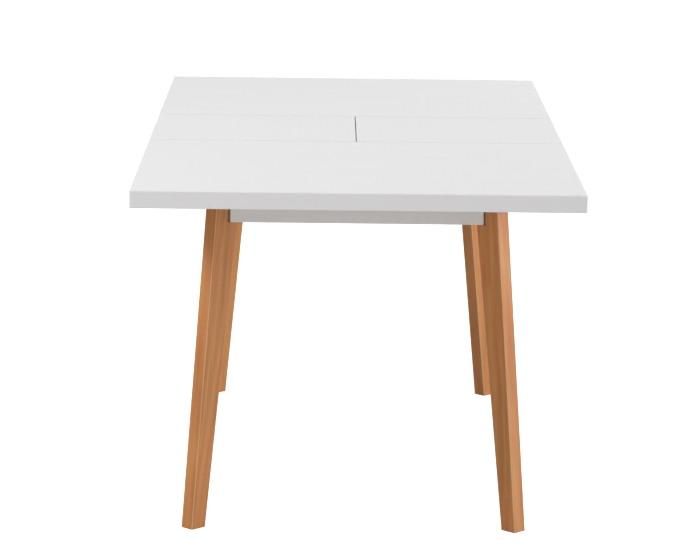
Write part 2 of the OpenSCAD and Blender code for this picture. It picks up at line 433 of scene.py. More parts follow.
class Nodes:
    """A node tree that is filled by short calls."""

    def __init__(self, tree: bpy.types.NodeTree) -> None:
        """Starts on an empty tree."""
        self.tree = tree
        self.tree.nodes.clear()

    def add(self, kind: str, inputs: Optional[dict] = None, **settings: object) -> bpy.types.Node:
        """Adds a node.

        Args:
            kind: the node's type.
            inputs: values or sockets for its inputs, by name or place.
            settings: properties of the node.

        Returns:
            The node.
        """
        node = self.tree.nodes.new(kind)
        for key, value in settings.items():
            setattr(node, key, value)
        self.feed(node, inputs or {})
        return node

    def feed(self, node: bpy.types.Node, inputs: dict) -> None:
        """Links a socket to each named input of a node, or sets the input to a value.

        Args:
            node: the node.
            inputs: values or sockets for its inputs, by name or place.
        """
        for key, value in inputs.items():
            if isinstance(value, Socket):
                self.tree.links.new(value, node.inputs[key])
            else:
                node.inputs[key].default_value = value

    def here(self) -> Socket:
        """The object's own coordinates, which move with it."""
        return self.add("ShaderNodeTexCoord").outputs["Object"]

    def maths(self, operation: str, *values: object) -> Socket:
        """The result of a Math node."""
        return self.add("ShaderNodeMath", dict(enumerate(values)), operation=operation).outputs[0]

    def weighted(self, *terms: tuple[Socket, float]) -> Socket:
        """The sum of some values, each times its weight.

        Args:
            terms: pairs of a value and its weight.

        Returns:
            The sum.
        """
        total = None
        for value, weight in terms:
            part = self.maths("MULTIPLY", value, weight)
            total = part if total is None else self.maths("ADD", total, part)
        return total

    def noise(self, vector: Socket, scale: Union[float, Triple], detail: float = 2.0,
              rough: float = 0.5) -> Socket:
        """The value of a noise texture, whose scale may differ along each axis.

        Args:
            vector: where the texture is read.
            scale: one scale, or one for each axis.
            detail: octaves of finer noise.
            rough: how strong each octave is next to the last.

        Returns:
            The value, from 0 to 1.
        """
        if isinstance(scale, tuple):
            vector = self.add("ShaderNodeVectorMath", {0: vector, 1: scale}, operation="MULTIPLY").outputs[0]
            scale = 1.0
        made = self.add("ShaderNodeTexNoise", {"Vector": vector, "Scale": scale, "Detail": detail,
                                               "Roughness": rough})
        return made.outputs[0]

    def between(self, value: Socket, low: float, high: float, new_low: object = 0.0,
                new_high: object = 1.0) -> Socket:
        """A value brought smoothly from one range to another.

        Args:
            value: the value.
            low: start of its range.
            high: end of its range.
            new_low: what it becomes at the start.
            new_high: what it becomes at the end.

        Returns:
            The new value, held at its ends.
        """
        made = self.add("ShaderNodeMapRange", {0: value, 1: low, 2: high, 3: new_low, 4: new_high},
                        interpolation_type="SMOOTHSTEP")
        return made.outputs[0]

    def mix(self, factor: object, first: object, second: object) -> Socket:
        """Two colours mixed."""
        made = self.add("ShaderNodeMix", {0: factor, 6: first, 7: second}, data_type="RGBA")
        return made.outputs[2]


def group(name: str, inputs: Sequence[tuple[str, str, object]], outputs: Sequence[tuple[str, str]],
          fill: Callable[[Nodes, bpy.types.Node], dict]) -> bpy.types.NodeTree:
    """A shader node group with named inputs and outputs.

    Args:
        name: the group's name.
        inputs: name, socket type and default value of each input.
        outputs: name and socket type of each output.
        fill: adds the nodes, given the tree and its input node, and returns a socket for each output.

    Returns:
        The node tree.
    """
    tree = bpy.data.node_groups.new(name, "ShaderNodeTree")
    for label, kind, value in inputs:
        made = tree.interface.new_socket(label, in_out="INPUT", socket_type=kind)
        if value is not None:
            made.default_value = value
    for label, kind in outputs:
        tree.interface.new_socket(label, in_out="OUTPUT", socket_type=kind)
    nodes = Nodes(tree)
    source = nodes.add("NodeGroupInput")
    nodes.add("NodeGroupOutput", fill(nodes, source))
    return tree


def fill_wood(n: Nodes, source: bpy.types.Node) -> dict:
    """Timber seen along its grain, whose own z runs along the piece.

    Rings: the distance from a pith beside the piece, bent by slow noise that is stretched along the grain,
    goes through a sine, so that faces cut through long arches and lines. Fibres are fine noise stretched
    forty times along the grain, streaks are coarser, and rays are short dark flecks. The tone is a weighted
    sum of rings, streaks and fibres. A painted highlight in a pale shade runs along the rounded edges
    that are marked on the mesh.

    Args:
        n: the group's nodes.
        source: the group's input node.

    Returns:
        A socket for the colour, the height and the tone of the grain.
    """
    bend_depth, side_lean, ring_sharpness = 0.05, 0.4, 1.7
    place = source.outputs["Vector"]
    slow = n.noise(place, (11.0, 11.0, 2.3), 2.0)
    bend = n.maths("MULTIPLY", n.maths("SUBTRACT", slow, 0.5), bend_depth)
    apart = n.add("ShaderNodeSeparateXYZ", {0: place})
    lean = n.maths("MULTIPLY", apart.outputs[2], source.outputs["Lean"])
    x = n.maths("ADD", n.maths("ADD", apart.outputs[0], source.outputs["Pith"]), lean)
    y = n.maths("ADD", apart.outputs[1], n.maths("MULTIPLY", lean, side_lean))
    square = n.maths("ADD", n.maths("MULTIPLY", x, x), n.maths("MULTIPLY", y, y))
    radius = n.maths("ADD", n.maths("SQRT", square), bend)
    wave = n.maths("SINE", n.maths("MULTIPLY", n.maths("DIVIDE", radius, source.outputs["Ring"]), TURN))
    ring = n.maths("MULTIPLY_ADD", wave, 0.5, 0.5)
    ring = n.maths("POWER", ring, ring_sharpness)
    fibre = n.noise(place, (620.0, 620.0, 14.0), 4.0, 0.62)
    streak = n.noise(place, (85.0, 85.0, 3.6), 3.0, 0.6)
    fleck = n.noise(place, (900.0, 900.0, 210.0), 1.0)
    fleck = n.between(fleck, 0.66, 0.74)
    patch = n.noise(place, (24.0, 24.0, 5.5), 2.0)
    tone = n.weighted((ring, 0.30), (n.between(streak, 0.3, 0.7), 0.40), (n.between(fibre, 0.25, 0.75), 0.30))
    warm = n.mix(n.between(patch, 0.3, 0.7), source.outputs["Base"], source.outputs["Warm"])
    colour = n.mix(tone, warm, source.outputs["Light"])
    dark = n.maths("MULTIPLY", fleck, source.outputs["Flecks"])
    colour = n.mix(dark, colour, source.outputs["Dark"])
    # painted highlight: rounded edges marked on the mesh are mixed towards a pale shade
    rubbed = n.add("ShaderNodeAttribute", attribute_name=EDGE_HIGHLIGHT_LAYER).outputs["Fac"]
    colour = n.mix(n.maths("MULTIPLY", rubbed, source.outputs["Rubbed"]), colour, source.outputs["Bright"])
    height = n.weighted((fibre, 0.6), (fleck, -0.5), (ring, 0.25))
    return {"Color": colour, "Height": height, "Grain": tone}


def fill_lacquer(n: Nodes, source: bpy.types.Node) -> dict:
    """Sprayed lacquer: the faint orange peel of the spray, slow waves in the board, and hazy patches.

    The height is fine noise plus slow noise, and the haze is slow noise crossed with wiped streaks.

    Args:
        n: the group's nodes.
        source: the group's input node.

    Returns:
        A socket for the haze and the height.
    """
    place = source.outputs["Vector"]
    peel = n.noise(place, 420.0, 2.0)
    wave = n.noise(place, 14.0, 1.0)
    haze = n.noise(place, (3.1, 7.3, 5.0), 3.0, 0.6)
    wiped = n.noise(place, (160.0, 9.0, 40.0), 2.0)
    haze = n.weighted((haze, 0.75), (wiped, 0.25))
    height = n.weighted((peel, 0.25), (wave, 0.3))
    return {"Haze": n.between(haze, 0.3, 0.7), "Height": height}


def fill_zinc(n: Nodes, source: bpy.types.Node) -> dict:
    """Zinc plate: rolled lines along the strip, crystal patches, and dulling where fingers have been.

    Args:
        n: the group's nodes.
        source: the group's input node.

    Returns:
        A socket for the mask of dull zinc and the height.
    """
    place = source.outputs["Vector"]
    rolled = n.noise(place, (900.0, 12.0, 900.0), 3.0, 0.6)
    cells = n.add("ShaderNodeTexVoronoi", {"Vector": place, "Scale": 190.0}).outputs["Color"]
    crystal = n.add("ShaderNodeSeparateColor", {0: cells}).outputs[0]
    dull = n.between(n.noise(place, 26.0, 3.0), 0.4, 0.7)
    mask = n.weighted((crystal, 0.5), (dull, 0.5))
    return {"Mask": mask, "Height": rolled}


@dataclass(frozen=True)
class Groups:
    """The shared effects, each built once."""

    wood: bpy.types.NodeTree
    lacquer: bpy.types.NodeTree
    zinc: bpy.types.NodeTree

    @staticmethod
    def build() -> "Groups":
        """Makes the three node groups.

        Returns:
            The groups.
        """
        vector, number, colour = "NodeSocketVector", "NodeSocketFloat", "NodeSocketColor"
        place = ("Vector", vector, None)
        brown = (0.5, 0.3, 0.15, 1.0)
        # the share after Flecks and the last shade carry the painted highlight on rounded edges
        shades = [(name, colour, brown) for name in ("Base", "Warm", "Light", "Dark", "Bright")]
        wood = group("timber_figure",
                     [place, ("Pith", number, 0.06), ("Lean", number, 0.04), ("Ring", number, 0.006),
                      ("Flecks", number, 0.5), ("Rubbed", number, 0.0)] + shades,
                     [("Color", colour), ("Height", number), ("Grain", number)], fill_wood)
        lacquer = group("sprayed_lacquer", [place], [("Haze", number), ("Height", number)], fill_lacquer)
        zinc = group("zinc_plate", [place], [("Mask", number), ("Height", number)], fill_zinc)
        return Groups(wood, lacquer, zinc)


def new_material(name: str) -> tuple[bpy.types.Material, Nodes, bpy.types.Node]:
    """A material with a Principled shader on its output.

    Args:
        name: the material's name.

    Returns:
        The material, its nodes, and the shader.
    """
    made = bpy.data.materials.new(name)
    made.use_nodes = True
    nodes = Nodes(made.node_tree)
    shader = nodes.add("ShaderNodeBsdfPrincipled")
    nodes.add("ShaderNodeOutputMaterial", {"Surface": shader.outputs[0]})
    return made, nodes, shader


def relief(n: Nodes, height: Socket, depth: float) -> Socket:
    """A shader's normal, tilted by a height whose depth is in metres."""
    return n.add("ShaderNodeBump", {"Height": height, "Distance": depth, "Strength": 1.0}).outputs[0]


@dataclass(frozen=True)
class Timber:
    """Clear-finished or sawn timber. The shades are scene-linear colours.

    Attributes:
        name: the material's name.
        base: the darker parts of the figure.
        warm: what the base drifts towards in patches.
        light: the paler parts of the figure.
        dark: the short flecks.
        ring: distance between rings.
        flecks: how strongly the flecks show.
        gloss: roughness of the pale parts and of the dark parts.
        relief_depth: depth of the grain.
        rubbed: how much of the painted highlight shows along a rounded edge.
        bright: the shade of the painted highlight along rounded edges.
    """

    name: str
    base: Shade
    warm: Shade
    light: Shade
    dark: Shade
    ring: float
    flecks: float
    gloss: tuple[float, float]
    relief_depth: float
    # share and shade of the painted highlight along rounded edges
    rubbed: float = 0.0
    bright: Shade = (0.6, 0.4, 0.25, 1.0)

    def material(self, shared: Groups, turn: Matrix, pith: float, lean: float,
                 label: str = "") -> bpy.types.Material:
        """The timber on one piece.

        Args:
            shared: the shared node groups.
            turn: brings the model's coordinates to the piece's own, with z along its grain.
            pith: distance from the piece's own axis to the middle of the rings.
            lean: how fast the grain runs out of the piece, as a slope.
            label: added to the material's name.

        Returns:
            The material.
        """
        made, n, shader = new_material(self.name + label)
        mapping = n.add("ShaderNodeMapping", {"Vector": n.here(), "Location": turn.to_translation(),
                                              "Rotation": turn.to_euler("XYZ")})
        values = {"Vector": mapping.outputs[0], "Pith": pith, "Lean": lean, "Ring": self.ring,
                  "Flecks": self.flecks, "Base": self.base, "Warm": self.warm, "Light": self.light,
                  "Dark": self.dark, "Rubbed": self.rubbed, "Bright": self.bright}
        figure = n.add("ShaderNodeGroup", values, node_tree=shared.wood).outputs
        n.feed(shader, {"Base Color": figure["Color"],
                        "Roughness": n.between(figure["Grain"], 0.1, 0.9, self.gloss[1], self.gloss[0]),
                        "Specular IOR Level": 0.25,
                        "Normal": relief(n, figure["Height"], self.relief_depth)})
        return made


@dataclass(frozen=True)
class Lacquer:
    """Sprayed lacquer on board, between two close shades.

    Attributes:
        name: the material's name.
        clear: where the lacquer is clean.
        hazed: where it is wiped and hazy.
        gloss: roughness of the clean parts and of the hazy ones.
        relief_depth: depth of the orange peel.
    """

    name: str
    clear: Shade
    hazed: Shade
    gloss: tuple[float, float]
    relief_depth: float

    def material(self, shared: Groups) -> bpy.types.Material:
        """The lacquer, the same on every board.

        Args:
            shared: the shared node groups.

        Returns:
            The material.
        """
        made, n, shader = new_material(self.name)
        effect = n.add("ShaderNodeGroup", {"Vector": n.here()}, node_tree=shared.lacquer).outputs
        n.feed(shader, {"Base Color": n.mix(effect["Haze"], self.clear, self.hazed),
                        "Roughness": n.between(effect["Haze"], 0.0, 1.0, *self.gloss),
                        "IOR": 1.5,
                        "Normal": relief(n, effect["Height"], self.relief_depth)})
        return made


@dataclass(frozen=True)
class Zinc:
    """Zinc-plated steel, between a bright and a dull shade.

    Attributes:
        name: the material's name.
        bright: where the plate is fresh.
        dull: where it has dulled.
        gloss: roughness of the bright parts and of the dull ones.
        relief_depth: depth of the rolled lines.
    """

    name: str
    bright: Shade
    dull: Shade
    gloss: tuple[float, float]
    relief_depth: float = 0.02 * MM

    def material(self, shared: Groups) -> bpy.types.Material:
        """The plating, the same on every fitting.

        Args:
            shared: the shared node groups.

        Returns:
            The material.
        """
        made, n, shader = new_material(self.name)
        effect = n.add("ShaderNodeGroup", {"Vector": n.here()}, node_tree=shared.zinc).outputs
        n.feed(shader, {"Base Color": n.mix(effect["Mask"], self.bright, self.dull),
                        "Roughness": n.between(effect["Mask"], 0.0, 1.0, *self.gloss),
                        "Metallic": 1.0,
                        "Normal": relief(n, effect["Height"], self.relief_depth)})
        return made


@dataclass(frozen=True)
class Nylon:
    """Moulded natural nylon, slightly mottled.

    Attributes:
        name: the material's name.
        shades: the two that the mottling goes between.
        gloss: roughness of the two.
        relief_depth: depth of the moulded texture.
    """

    name: str = "natural_nylon"
    shades: tuple[Shade, Shade] = ((0.74, 0.74, 0.69, 1.0), (0.84, 0.84, 0.80, 1.0))
    gloss: tuple[float, float] = (0.38, 0.5)
    relief_depth: float = 0.03 * MM

    def material(self) -> bpy.types.Material:
        """The plastic of the glide pads.

        Returns:
            The material.
        """
        made, n, shader = new_material(self.name)
        place = n.here()
        mottle = n.noise(place, 300.0, 3.0)
        n.feed(shader, {"Base Color": n.mix(mottle, *self.shades),
                        "Roughness": n.between(mottle, 0.3, 0.7, *self.gloss),
                        "Normal": relief(n, n.noise(place, 1400.0, 2.0), self.relief_depth)})
        return made


# the last two values set the painted highlight along the legs' rounded edges
BEECH = Timber("beech", base=(0.415, 0.155, 0.047, 1.0), warm=(0.500, 0.167, 0.052, 1.0),
               light=(0.612, 0.292, 0.106, 1.0), dark=(0.232, 0.071, 0.022, 1.0), ring=0.019, flecks=0.45,
               gloss=(0.42, 0.55), relief_depth=0.05 * MM, rubbed=0.7, bright=(0.78, 0.52, 0.31, 1.0))
PINE = Timber("sawn_pine", base=(0.50, 0.32, 0.16, 1.0), warm=(0.56, 0.35, 0.17, 1.0),
              light=(0.68, 0.48, 0.27, 1.0), dark=(0.30, 0.15, 0.06, 1.0), ring=0.007, flecks=0.2,
              gloss=(0.6, 0.75), relief_depth=0.12 * MM)
TOP_WHITE = Lacquer("top_lacquer", clear=(0.872, 0.872, 0.884, 1.0), hazed=(0.864, 0.864, 0.874, 1.0),
                    gloss=(0.19, 0.22), relief_depth=0.006 * MM)
# grey on the faces along the seams: painted shade for the dark slits between the boards
SEAM_SHADE_GREY = Lacquer("edge_band", clear=(0.36, 0.36, 0.365, 1.0), hazed=(0.32, 0.32, 0.325, 1.0),
                    gloss=(0.42, 0.5), relief_depth=0.02 * MM)
FRAME_WHITE = Lacquer("frame_lacquer", clear=(0.80, 0.795, 0.79, 1.0), hazed=(0.76, 0.755, 0.75, 1.0),
                      gloss=(0.30, 0.38), relief_depth=0.012 * MM)
STRIP_ZINC = Zinc("slide_zinc", bright=(0.60, 0.61, 0.63, 1.0), dull=(0.48, 0.49, 0.50, 1.0),
                  gloss=(0.26, 0.42))
BOLT_ZINC = Zinc("fastener_zinc", bright=(0.66, 0.65, 0.60, 1.0), dull=(0.52, 0.50, 0.45, 1.0),
                 gloss=(0.24, 0.38))


# ---------------------------------------------------------------------------------------------- the table


def cad_box_of(node: str) -> Box:
    """The lowest and highest corners of a CAD node, as arrays."""
    low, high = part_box(node)
    return np.array(low), np.array(high)


def span(low: Array, high: Array, axis: int = 0) -> tuple[float, float]:
    """The nearest and furthest distances of a box from the table's middle, along one axis."""
    near, far = sorted((abs(low[axis]), abs(high[axis])))
    return float(near), float(far)


def rectangle(low: Array, high: Array) -> Outline:
    """A box's outline from above, anticlockwise."""
    return [[low[0], low[1]], [high[0], low[1]], [high[0], high[1]], [low[0], high[1]]]


@dataclass
class Corner:
    """A corner of the frame, cut off at 45 degrees, where a leg is seated.

    Attributes:
        side: left or right.
        end: front or rear.
        leg_thickness: thickness of the leg across its wide faces, which is the length of the cut.
    """

    side: Side
    end: End
    leg_thickness: float = 33 * MM

    @property
    def name(self) -> str:
        """The corner's part of a node's name."""
        return f"{self.end.label}_{self.side.label}"

    @property
    def seat(self) -> Array:
        """The middle of the cut face, at floor level.

        Returns:
            The point.
        """
        cut = self.leg_thickness * DIAGONAL
        wide = cad_box_of("side_rail_right")[1][0] - cut / 2.0
        long = cad_box_of("apron_rear")[1][1] - cut / 2.0
        return np.array([self.side.value * wide, self.end.value * long, 0.0])

    @property
    def axes(self) -> Array:
        """Rows: outwards along the diagonal, sideways along the cut face, and up."""
        x, y = self.side.value * DIAGONAL, self.end.value * DIAGONAL
        return np.array([[x, y, 0.0], [-y, x, 0.0], [0.0, 0.0, 1.0]])


@dataclass
class Leg:
    """A tapering leg, notched so that its cheek covers the frame's corner and its shoulder carries it.

    Attributes:
        corner: where it stands.
        pith: distance from the leg's axis to the middle of the tree's rings.
        lean: slope of the grain across the leg.
        foot_depth: depth along the diagonal at the floor.
        splay: distance from the seat out to the middle of the foot.
        cheek: depth of wood outside the seat at the top.
        shoulder: depth of wood inside the seat, under the frame.
        arris: radius of the long edges.
        foot_edge: radius of the edge round the foot.
        edge_steps: stretches in each rounded long edge.
        arc_steps: stretches in each quarter circle seen from the side.
        body_rows: rows between the foot and the shoulder.
    """

    corner: Corner
    pith: float
    lean: float
    foot_depth: float = 38 * MM
    splay: float = 79 * MM
    cheek: float = 27 * MM
    shoulder: float = 27 * MM
    arris: float = 1.8 * MM
    foot_edge: float = 1.2 * MM
    edge_steps: int = 6
    arc_steps: int = 4
    body_rows: int = 25

    def mesh(self) -> Mesh:
        """The leg: rectangles with rounded corners, each a row at its own height.

        The outer face runs straight from the foot to the cheek, and the inner face from the foot to the
        shoulder. At the shoulder the inner face steps back to the seat in a quarter circle and a flat.

        Returns:
            The points and the faces.
        """
        top = cad_box_of(f"leg_{self.corner.name}")[1][2]
        notch = cad_box_of("apron_front")[0][2]
        foot_out = self.splay + self.foot_depth / 2.0
        foot_in = self.splay - self.foot_depth / 2.0
        half = self.corner.leg_thickness / 2.0
        a = np.linspace(0.0, QUARTER, self.arc_steps + 1)
        foot_rise = self.foot_edge * (1.0 - np.cos(a))
        body = np.linspace(0.02, 0.98, self.body_rows) * notch
        under = notch - self.arris * (1.0 - np.sin(a))
        shoulder_back = self.arris * (1.0 - np.cos(a))
        flat = np.array([0.35, 0.7, 1.0])
        cheek_rise = np.linspace(0.0, 1.0, 6)[1:] * (top - self.arris - notch) + notch
        top_rise = top - self.arris * (1.0 - np.sin(a[1:]))
        z = np.concatenate([foot_rise, body, under, np.full(len(flat), notch), cheek_rise, top_rise])
        inner = foot_in + (-self.shoulder - foot_in) * z / notch
        arc_start = len(foot_rise) + len(body)
        flat_start = arc_start + len(under)
        seat_start = flat_start + len(flat)
        inner[arc_start:flat_start] += shoulder_back
        last = inner[flat_start - 1]
        inner[flat_start:seat_start] = last - last * flat
        inner[seat_start:] = 0.0
        outer = foot_out + (self.cheek - foot_out) * z / top
        insets = np.zeros(len(z))
        insets[:len(a)] = self.foot_edge * (1.0 - np.sin(a))
        insets[-self.arc_steps:] = self.arris * (1.0 - np.cos(a[1:]))
        side = np.full(len(z), half)
        corners = np.stack([np.stack([inner, -side], 1), np.stack([outer, -side], 1),
                            np.stack([outer, side], 1), np.stack([inner, side], 1)], axis=1)
        rings = rounded_rings(corners, insets, np.full(4, self.arris * ROUND_OVER), self.edge_steps)
        heights = np.repeat(z[:, None, None], rings.shape[1], axis=1)
        return placed(skin(np.concatenate([rings, heights], axis=2)), self.corner.seat, self.corner.axes)

    def grain(self) -> Matrix:
        """Brings the model's coordinates to the leg's own: z up its sloping axis, x outwards, y across.

        Returns:
            The turn and shift.
        """
        top = cad_box_of(f"leg_{self.corner.name}")[1][2]
        out, across, up = (Vector(row) for row in self.corner.axes)
        foot = Vector(self.corner.seat) + out * self.splay
        slope = (self.splay + self.foot_depth / 2.0 - self.cheek) / top
        along = (up - out * slope).normalized()
        square = across.cross(along).normalized()
        turn = Matrix((square, across, along)).to_4x4()
        if turn.determinant() < 0.0:
            turn = Matrix((-square, across, along)).to_4x4()
        return turn @ Matrix.Translation(-foot)

    def build(self, shared: Groups) -> None:
        """Makes the leg, with its own stretch of timber.

        Args:
            shared: the shared node groups.
        """
        name = f"leg_{self.corner.name}"
        timber = BEECH.material(shared, self.grain(), self.pith, self.lean, "_" + self.corner.name)
        made = piece(name, self.mesh(), timber, "frame", [name])
        # marks each rounded long edge, strongest in its middle, for the painted highlight
        layer = made.data.attributes.new(EDGE_HIGHLIGHT_LAYER, "FLOAT", "POINT")
        arc = np.sin(np.linspace(0.0, math.pi, self.edge_steps + 1))
        layer.data.foreach_set("value", np.resize(arc, len(made.data.vertices)))


@dataclass
class CornerJoint:
    """The block glued into a corner, with the nose that the leg is drawn onto by bolts made in LegFasteners.

    Attributes:
        corner: where it is.
        face: length of the block's faces against the boards.
        nose: width of the nose that the leg bolts to.
        arris: radius of the block's edges.
        pith: distance from the corner to the middle of the rings.
        lean: slope of the grain across the block.
        grain_turn: angle that the rings are turned by about the upright, in radians.
    """

    corner: Corner
    face: float = 45 * MM
    nose: float = 24 * MM
    arris: float = 0.8 * MM
    pith: float = 70 * MM
    lean: float = 0.05
    grain_turn: float = 0.4

    def block(self) -> Mesh:
        """The block: an outline in the corner's own quarter, carried up the height of the frame.

        Returns:
            The points and the faces.
        """
        rail, apron = cad_box_of("side_rail_right"), cad_box_of("apron_rear")
        inner_x, inner_y = rail[0][0], apron[0][1]
        low, high = apron[0][2], apron[1][2]
        seat = np.abs(self.corner.seat)
        total = inner_x + inner_y - self.face
        step = self.nose * DIAGONAL / 2.0
        left, right = seat[:2] + [-step, step], seat[:2] + [step, -step]
        outline = [[total - inner_y, inner_y], [inner_x, total - inner_x],
                   [inner_x, right[1] - (right[0] - inner_x)], right, left,
                   [left[0] - (left[1] - inner_y), inner_y]]
        block = slab(outline, low, high, self.arris, self.arris * 1.5, steps=2)
        return placed(block, CENTRE, np.diag([self.corner.side.value, self.corner.end.value, 1.0]))

    def build(self, shared: Groups) -> None:
        """Makes the block, with its grain upright.

        Args:
            shared: the shared node groups.
        """
        name = f"corner_block_{self.corner.name}"
        away = Matrix.Translation(-Vector(self.corner.seat))
        turn = Matrix.Rotation(self.grain_turn * self.corner.side.value, 4, "Z") @ away
        wood = PINE.material(shared, turn, self.pith, self.lean, "_block_" + self.corner.name)
        piece(name, self.block(), wood, "frame", [name])


@dataclass
class LegFasteners:
    """The hanger bolts, washers and nuts at the corners, placed by the frame's own solids.

    Attributes:
        pitch: the bolts' thread pitch.
        thread_depth: depth of the thread.
        thread_length: length of thread in view past the washer.
        chamfer: size of the nuts' chamfers.
        nut_share: height of a nut over its bolt's diameter.
        washer_edge: size of the washers' chamfers.
        washer_play: clearance between a washer and its bolt.
    """

    pitch: float = 1.25 * MM
    thread_depth: float = 0.7 * MM
    thread_length: float = 22 * MM
    chamfer: float = 0.7 * MM
    nut_share: float = 0.8
    washer_edge: float = 0.4 * MM
    washer_play: float = 0.25 * MM

    def spots(self, node: str) -> list[tuple[Array, Array, float, float]]:
        """Where each round fitting of a node is, along its corner's diagonal.

        The box of a round bar on a diagonal is as wide as its length plus its diameter, times the sine of
        45 degrees.

        Args:
            node: the CAD node.

        Returns:
            For each solid: its centre, its axes with z outwards, its diameter and its length.
        """
        found = []
        for low, high in solids_of(node):
            centre = (low + high) / 2.0
            signs = np.sign(centre)
            out = np.array([signs[0] * DIAGONAL, signs[1] * DIAGONAL, 0.0])
            up = np.array([0.0, 0.0, 1.0])
            across = np.cross(up, out)
            thick = high[2] - low[2]
            length = (high[0] - low[0]) / DIAGONAL - thick
            found.append((centre, np.stack([up, across, out]), thick, length))
        return found

    def bolts(self) -> Mesh:
        """Each bolt: a threaded tip inside the frame, and a plain shank from there into the leg.

        Returns:
            The points and the faces.
        """
        parts = []
        for centre, axes, thick, length in self.spots("leg_bolts"):
            start = centre - axes[2] * length / 2.0
            radius = thick / 2.0
            thread = threaded(radius, self.pitch, self.thread_depth, self.thread_length)
            parts.append(placed(thread, start, axes))
            shank = [[radius * 0.9, self.thread_length * 0.95], [radius, self.thread_length],
                     [radius, length - MM], [radius * 0.8, length]]
            parts.append(placed(turned(shank, segments=20), start, axes))
        return joined(parts)

    def washers(self) -> Mesh:
        """Each washer: a rounded section carried round the bolt.

        Returns:
            The points and the faces.
        """
        parts = []
        bolt = self.spots("leg_bolts")[0][2]
        for centre, axes, thick, length in self.spots("leg_washers"):
            outer, inner, half = thick / 2.0, bolt / 2.0 + self.washer_play, length / 2.0
            edge = self.washer_edge
            section = [[inner, -half + edge], [inner + edge, -half], [outer - edge, -half],
                       [outer, -half + edge], [outer, half - edge], [outer - edge, half],
                       [inner + edge, half], [inner, half - edge]]
            parts.append(placed(turned(section, segments=36, loop=True), centre, axes))
        return joined(parts)

    def nuts(self) -> Mesh:
        """Each nut: a hexagon with rounded corners and chamfered faces.

        Returns:
            The points and the faces.
        """
        parts = []
        bolt = self.spots("leg_bolts")[0][2]
        for (low, high), (centre, axes, _, _) in zip(solids_of("leg_nuts"), self.spots("leg_nuts")):
            length = self.nut_share * bolt
            angle = np.linspace(0.0, TURN, 6, endpoint=False)
            point = (high[2] - low[2]) / 2.0
            outline = np.stack([np.cos(angle), np.sin(angle)], axis=1) * point
            nut = slab(outline, -length / 2.0, length / 2.0, self.chamfer, self.chamfer, steps=2)
            parts.append(placed(nut, centre, axes))
        return joined(parts)

    def build(self, shared: Groups) -> None:
        """Makes the three sets.

        Args:
            shared: the shared node groups.
        """
        zinc = BOLT_ZINC.material(shared)
        for name, mesh in (("leg_bolts", self.bolts()), ("leg_washers", self.washers()),
                           ("leg_nuts", self.nuts())):
            piece(name, mesh, zinc, "frame", [name])


@dataclass
class FrameBoards:
    """The aprons across the ends and the rails along the sides.

    Attributes:
        arris: radius of the long edges.
        end_round: radius of the upright edges at the ends, outside.
        square_end: depth of the square part of an end.
    """

    arris: float = 1.2 * MM
    end_round: float = 4 * MM
    square_end: float = 6 * MM

    def board(self, node: str, along: int) -> Mesh:
        """A board on its CAD node's box, whose ends are square outside and cut back inside.

        Args:
            node: the CAD node.
            along: 0 for a board across the table, 1 for one along it.

        Returns:
            The points and the faces.
        """
        low, high = cad_box_of(node)
        away = 1 - along
        sign = 1.0 if low[away] + high[away] > 0.0 else -1.0
        near, far = span(low, high, away)
        half, cut = high[along], far - near - self.square_end
        outline = [[half, far], [-half, far], [-half, far - self.square_end], [-half + cut, near],
                   [half - cut, near], [half, far - self.square_end]]
        corner = [self.end_round, self.end_round] + [self.arris * 1.2] * 4
        board = slab(outline, low[2], high[2], self.arris, corner, steps=6)
        axes = np.zeros((3, 3))
        axes[0, along], axes[1, away], axes[2, 2] = 1.0, sign, 1.0
        return placed(board, CENTRE, axes)

    def build(self, shared: Groups) -> None:
        """Makes the four boards.

        Args:
            shared: the shared node groups.
        """
        white = FRAME_WHITE.material(shared)
        for node, along in (("apron_front", 0), ("apron_rear", 0), ("side_rail_left", 1),
                            ("side_rail_right", 1)):
            piece(node, self.board(node, along), white, "frame", [node])


@dataclass
class GlidePads:
    """The low nylon pads on the frame's top edge.

    Attributes:
        edge: radius of the rounded rim.
        rim_share: height of the rim over the height of the crown.
    """

    edge: float = 0.8 * MM
    rim_share: float = 0.93

    def build(self) -> None:
        """Makes the pads: discs with a rounded upper edge and a slight crown."""
        parts = []
        for low, high in solids_of("glide_pads"):
            centre = (low + high) / 2.0
            radius, tall = (high[0] - low[0]) / 2.0, high[2] - low[2]
            a = np.linspace(0.0, QUARTER, 5)
            across = radius - self.edge * (1.0 - np.cos(a))
            up = tall * self.rim_share - self.edge * (1.0 - np.sin(a))
            rim = np.stack([across, up], axis=1).tolist()
            profile = [[radius, 0.0]] + rim + [[radius * 0.5, tall * 0.98], [radius * 0.1, tall]]
            parts.append(placed(turned(profile, segments=28), (centre[0], centre[1], low[2]), LEVEL))
        piece("glide_pads", joined(parts), Nylon().material(), "frame", ["glide_pads"])


